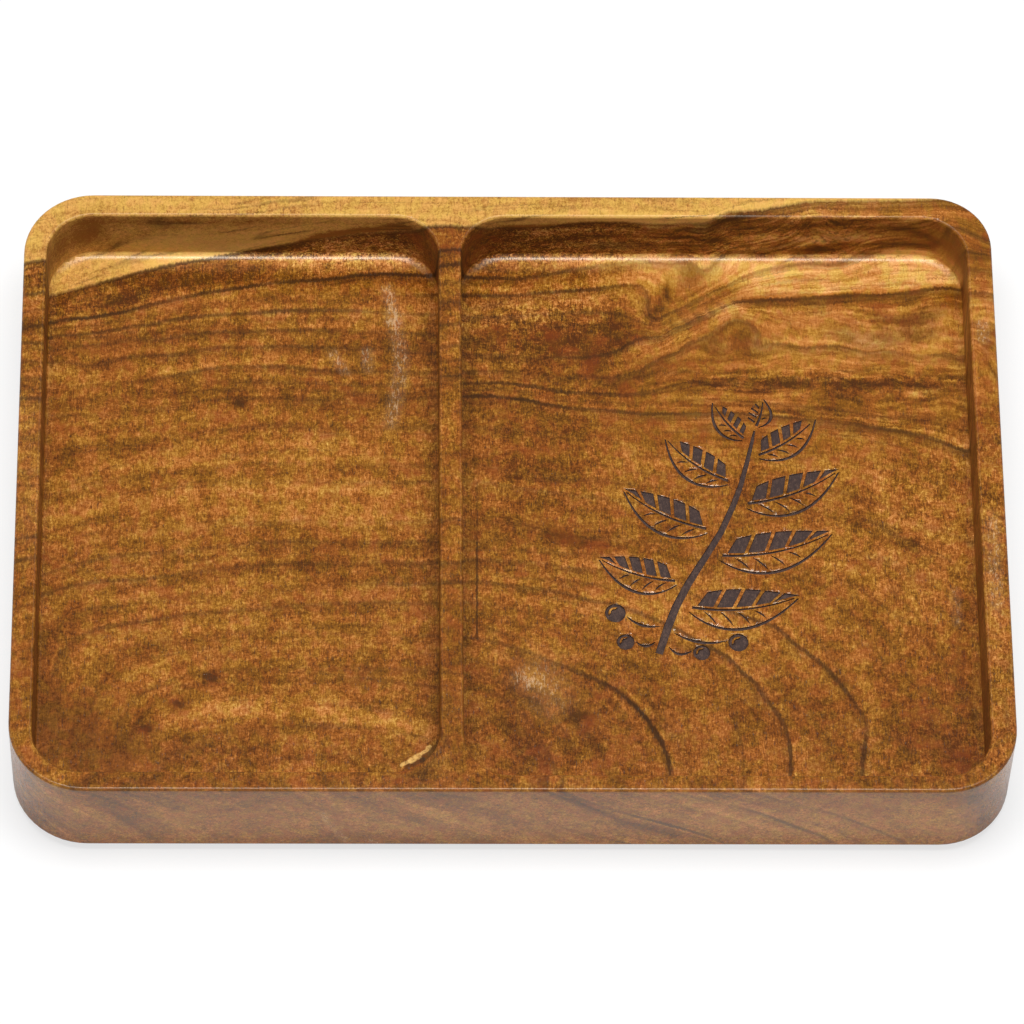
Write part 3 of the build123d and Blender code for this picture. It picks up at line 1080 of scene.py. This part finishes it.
class TRAY_OT_body(bpy.types.Operator):
    """Make the milled body in its timber, with the engraving cut into the right compartment's floor"""
    bl_idname = "tray.body"
    bl_label = "Milled Body"
    # Faces that turn by less than the first are joined, and edges that turn by more than the second are sharp
    flat_angle, sharp_angle = math.radians(0.05), math.radians(50)

    def execute(self, context):
        settings = context.scene.tray_timber
        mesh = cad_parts["tray_body"].data.copy()
        body = bmesh.new()
        body.from_mesh(mesh)
        bmesh.ops.remove_doubles(body, verts=body.verts, dist=cad_merge_distance)
        bmesh.ops.dissolve_limit(body, angle_limit=self.flat_angle, verts=body.verts, edges=body.edges)
        body.to_mesh(mesh)
        body.free()
        mesh.materials.clear()
        mesh.materials.append(Timber(settings).finished())
        mesh = cut_out(mesh, draw_sprig(context.scene.tray_engraving, burnt_material(settings)))
        mesh.name = "milled_body"
        body = bmesh.new()
        body.from_mesh(mesh)
        spacing = settings.mesh_spacing
        for axis in range(3):
            slice_faces(body, list(body.faces), axis, even_planes(body_low[axis], body_high[axis], spacing))
        for face in body.faces:
            face.smooth = True
        body.to_mesh(mesh)
        body.free()
        mesh.set_sharp_from_angle(angle=self.sharp_angle)
        RingField().write(mesh)
        piece = new_object("milled_body", mesh)
        weigh = piece.modifiers.new("face_weighted_normals", "WEIGHTED_NORMAL")
        weigh.keep_sharp = True
        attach(piece, "root")
        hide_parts("tray_body")
        return {"FINISHED"}


# Feet

class FeetSettings(bpy.types.PropertyGroup):
    rubber: colour_property("Rubber", "Nearly black rubber of the feet", (34, 33, 33))
    dust: colour_property("Dust", "Grey of the dust on the rubber", (96, 92, 88))
    adhesive: colour_property("Adhesive", "Cream film that holds the feet", (232, 228, 216))
    adhesive_shade: colour_property("Adhesive shade", "Darker cream of the film's pores", (206, 200, 184))
    tread_bevel: length_property("Tread bevel", "Rounding of a foot's lower edge", 0.45)
    top_bevel: length_property("Top bevel", "Rounding of a foot's upper edge", 0.15)
    mould_mark_radius: length_property("Mould mark radius", "Radius of the dimple in the tread", 1.2)
    mould_mark_depth: length_property("Mould mark depth", "Depth of the dimple in the tread", 0.2)
    taper: length_property("Taper", "How much narrower a foot is at its tread", 0.6)
    segments: IntProperty(name="Segments", description="Sides of a foot", default=64, min=16)


def rubber_material(settings):
    nodes = Nodes(bpy.data.materials.new("foot_rubber"))
    dust = nodes.pattern((0.9, 0.9, 0.9), 4.0, 0.6)
    specks = nodes.pattern((5.0, 5.0, 5.0), 2.0, 0.5)
    colour = nodes.mix(nodes.fit(dust, 0.5, 0.8) * 0.35, settings.rubber, settings.dust)
    roughness = nodes.fit(dust, 0.2, 0.8, 0.5, 0.8)
    return nodes.finish_surface(colour, roughness, specks, bump_depth=0.05, bump_strength=0.3)


def adhesive_material(settings):
    nodes = Nodes(bpy.data.materials.new("adhesive_film"))
    foam = nodes.pattern((3.0, 3.0, 3.0), 3.0, 0.6)
    colour = nodes.mix(nodes.fit(foam, 0.3, 0.7), settings.adhesive_shade, settings.adhesive)
    return nodes.finish_surface(colour, 0.55, foam, bump_depth=0.05, bump_strength=0.3)


def rounded(solid, height, radius, offset, segments=5, tolerance=1e-6):
    """Rounds the ring of edges at a height and radius."""
    edges = [edge for edge in solid.edges
             if all(abs(vertex.co.z - height) < tolerance and abs(vertex.co.xy.length - radius) < tolerance
                    for vertex in edge.verts)]
    bmesh.ops.bevel(solid, geom=edges, offset=offset, segments=segments, profile=0.5, affect="EDGES",
                    material=-1, clamp_overlap=True)


class TRAY_OT_feet(bpy.types.Operator):
    """Turn the four rubber feet and the adhesive discs that hold them"""
    bl_idname = "tray.feet"
    bl_label = "Feet"
    sharp_angle = math.radians(35)

    def execute(self, context):
        settings = context.scene.tray_feet
        kinds = (("foot", rubber_material(settings), self.foot),
                 ("adhesive_disc", adhesive_material(settings), self.disc))
        for place in foot_places:
            for kind, material, shape in kinds:
                node = kind + "_" + place
                low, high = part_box(node)
                solid = bmesh.new()
                shape(solid, (high.x - low.x) / 2, high.z - low.z, settings)
                bmesh.ops.recalc_face_normals(solid, faces=solid.faces)
                centre = ((low.x + high.x) / 2, (low.y + high.y) / 2, low.z)
                bmesh.ops.translate(solid, verts=solid.verts, vec=centre)
                mesh = bpy.data.meshes.new("dressed_" + node)
                for face in solid.faces:
                    face.smooth = True
                solid.to_mesh(mesh)
                solid.free()
                mesh.set_sharp_from_angle(angle=self.sharp_angle)
                mesh.materials.append(material)
                piece = new_object("dressed_" + node, mesh)
                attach(piece, "root")
                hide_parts(node)
        return {"FINISHED"}

    def turn(self, solid, profile, settings):
        corners = [solid.verts.new((radius, 0.0, height)) for radius, height in profile]
        edges = [solid.edges.new(pair) for pair in zip(corners[:-1], corners[1:])]
        bmesh.ops.spin(solid, geom=corners + edges, cent=(0, 0, 0), axis=(0, 0, 1), angle=math.tau,
                       steps=settings.segments, use_merge=True)
        bmesh.ops.remove_doubles(solid, verts=solid.verts, dist=merge_distance)

    def foot(self, solid, radius, height, settings):
        tread = radius - settings.taper
        mark, dip = settings.mould_mark_radius, settings.mould_mark_depth
        self.turn(solid, ((0.0, dip), (mark - dip, dip), (mark, 0.0), (tread, 0.0), (radius, height),
                          (0.0, height)), settings)
        rounded(solid, 0.0, tread, settings.tread_bevel)
        rounded(solid, height, radius, settings.top_bevel, 3)

    def disc(self, solid, radius, height, settings):
        self.turn(solid, ((0.0, 0.0), (radius, 0.0), (radius, height), (0.0, height)), settings)


# Stage

class StageSettings(bpy.types.PropertyGroup):
    camera_distance: length_property("Camera distance", "Distance from the camera to its target", 1748.2)
    camera_elevation: angle_property("Camera elevation", "Angle of the view above the table", 59.5)
    camera_roll: angle_property("Camera roll", "Turn of the camera about its view", 0.156)
    camera_yaw: angle_property("Camera yaw", "Turn of the camera to the right", 1.2593)
    camera_target: FloatVectorProperty(name="Camera target", description="Point that the camera looks at",
                                       subtype="TRANSLATION", default=(-0.03749, 0.009735, 0.0018))
    focal_length: FloatProperty(name="Focal length", description="Focal length of the camera in mm",
                                default=234.97)
    softbox_power: FloatProperty(name="Softbox power", description="Power of the lamp overhead",
                                 unit="POWER", default=12.5)
    softbox_width: length_property("Softbox width", "Size of the lamp from left to right", 650.0)
    softbox_depth: length_property("Softbox depth", "Size of the lamp from front to back", 360.0)
    softbox_place: FloatVectorProperty(name="Softbox place", description="Middle of the lamp overhead",
                                       subtype="TRANSLATION", default=(0.0, -0.03, 1.1))
    room_brightness: FloatProperty(name="Room brightness", description="Brightness of the room's white",
                                   default=0.24)


class TRAY_OT_stage(bpy.types.Operator):
    """Make the floor, the lamp, the room and the camera"""
    bl_idname = "tray.stage"
    bl_label = "Stage"

    def execute(self, context):
        settings = context.scene.tray_stage
        self.make_floor()
        self.make_lamp(settings)
        self.make_room(context, settings)
        self.make_camera(context, settings)
        context.scene.view_settings.view_transform = "Standard"
        return {"FINISHED"}

    def make_floor(self):
        sheet = bmesh.new()
        bmesh.ops.create_grid(sheet, x_segments=1, y_segments=1, size=3.0)
        mesh = bpy.data.meshes.new("floor")
        sheet.to_mesh(mesh)
        sheet.free()
        nodes = Nodes(bpy.data.materials.new("white_floor"))
        seen = nodes.math("MAXIMUM", nodes.add("LightPath", output="Is Camera Ray"),
                          nodes.add("LightPath", output="Is Transmission Ray"))
        matt = nodes.add("BsdfDiffuse", {"Color": (0.95, 0.95, 0.95)})
        white = nodes.add("Emission", {"Color": (1.0, 1.0, 1.0), "Strength": 1.0})
        shader = nodes.add("MixShader", {0: seen * 0.7, 1: matt, 2: white})
        mesh.materials.append(nodes.finish(shader))
        new_object("floor", mesh)

    def make_lamp(self, settings):
        lamp = bpy.data.lights.new("softbox", "AREA")
        lamp.shape = "RECTANGLE"
        lamp.size, lamp.size_y = settings.softbox_width, settings.softbox_depth
        lamp.energy = settings.softbox_power
        new_object("softbox", lamp).location = settings.softbox_place

    def make_room(self, context, settings):
        nodes = Nodes(bpy.data.worlds.new("room"))
        seen = nodes.add("LightPath", output="Is Camera Ray")
        strength = nodes.add("MapRange", {"Value": seen, "To Min": settings.room_brightness, "To Max": 1.0})
        background = nodes.add("Background", {"Color": (1.0, 1.0, 1.0), "Strength": strength})
        context.scene.world = nodes.finish(background, "OutputWorld")

    def make_camera(self, context, settings):
        lens = bpy.data.cameras.new("camera")
        lens.sensor_width = 36.0
        lens.lens = settings.focal_length
        lens.clip_start, lens.clip_end = 0.01, 20.0
        made = new_object("camera", lens)
        tilt = math.radians(90) - settings.camera_elevation
        turn = (Matrix.Rotation(tilt, 4, "X") @ Matrix.Rotation(settings.camera_roll, 4, "Z")
                @ Matrix.Rotation(-settings.camera_yaw, 4, "Y"))
        back = Vector((0.0, -math.cos(settings.camera_elevation), math.sin(settings.camera_elevation)))
        place = Vector(settings.camera_target) + settings.camera_distance * back
        made.matrix_world = Matrix.Translation(place) @ turn
        context.scene.camera = made


class TRAY_PT_panel(bpy.types.Panel):
    """Lists the steps that dress the tray, with their sizes and colours"""
    bl_label = "Valet Tray"
    bl_idname = "TRAY_PT_panel"
    bl_space_type = "VIEW_3D"
    bl_region_type = "UI"
    bl_category = "Valet Tray"

    def draw(self, context):
        scene = context.scene
        for operator, groups in ((TRAY_OT_body, (scene.tray_timber, scene.tray_engraving)),
                                 (TRAY_OT_feet, (scene.tray_feet,)), (TRAY_OT_stage, (scene.tray_stage,))):
            box = self.layout.box()
            box.operator(operator.bl_idname)
            for settings in groups:
                for key in settings.__annotations__:
                    box.prop(settings, key)


settings_groups = {"tray_timber": TimberSettings, "tray_engraving": EngravingSettings,
                   "tray_feet": FeetSettings, "tray_stage": StageSettings}
classes = (*settings_groups.values(), TRAY_OT_body, TRAY_OT_feet, TRAY_OT_stage, TRAY_PT_panel)


def register():
    for item in classes:
        bpy.utils.register_class(item)
    for name, group in settings_groups.items():
        setattr(bpy.types.Scene, name, PointerProperty(type=group))


def unregister():
    for name in settings_groups:
        delattr(bpy.types.Scene, name)
    for item in reversed(classes):
        bpy.utils.unregister_class(item)


def main():
    register()
    bpy.ops.tray.body()
    bpy.ops.tray.feet()
    bpy.ops.tray.stage()


if __name__ == "__main__":
    main()
